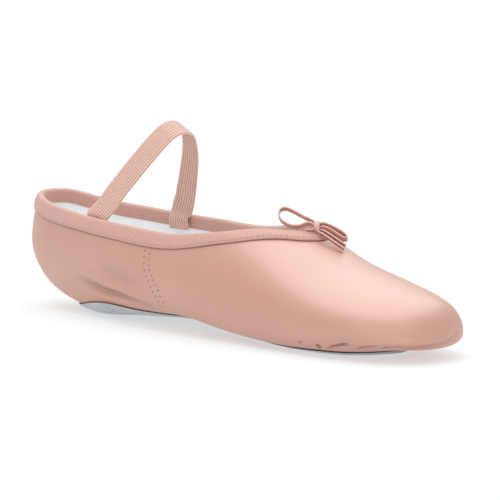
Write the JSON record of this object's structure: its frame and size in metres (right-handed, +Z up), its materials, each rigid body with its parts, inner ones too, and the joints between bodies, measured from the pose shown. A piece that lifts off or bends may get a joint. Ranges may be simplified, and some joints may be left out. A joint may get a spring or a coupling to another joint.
{
  "type": "ballet slipper",
  "caption": "Soft leather ballet slipper with a separate suede sole, a gathered collar tape tied in a bow at the throat, and an elastic strap over the instep.",
  "frame": {"origin": "on the floor, under the middle of the shoe's box", "axes": "+X from the heel to the toe, +Y to the wearer's left, +Z up"},
  "size_m": [0.245, 0.073, 0.0922],
  "materials": {
    "upper_leather": "satin, pale pink",
    "sole_suede": "rough, pale grey",
    "lining_cloth": "matt, off-white",
    "binding_tape": "matt, dull pink",
    "strap_elastic": "ribbed, pink",
    "drawstring": "matt, dark pink"
  },
  "bodies": {
    "root": {"upper": "upper_leather", "outsole": "sole_suede", "insole": "lining_cloth", "collar_binding": "binding_tape", "elastic_strap": "strap_elastic", "drawstring_near": "drawstring", "drawstring_far": "drawstring", "bow_loop_heel": "drawstring", "bow_loop_toe": "drawstring", "bow_tail_near": "drawstring", "bow_tail_far": "drawstring", "bow_knot": "drawstring"}
  },
  "joints": []
}
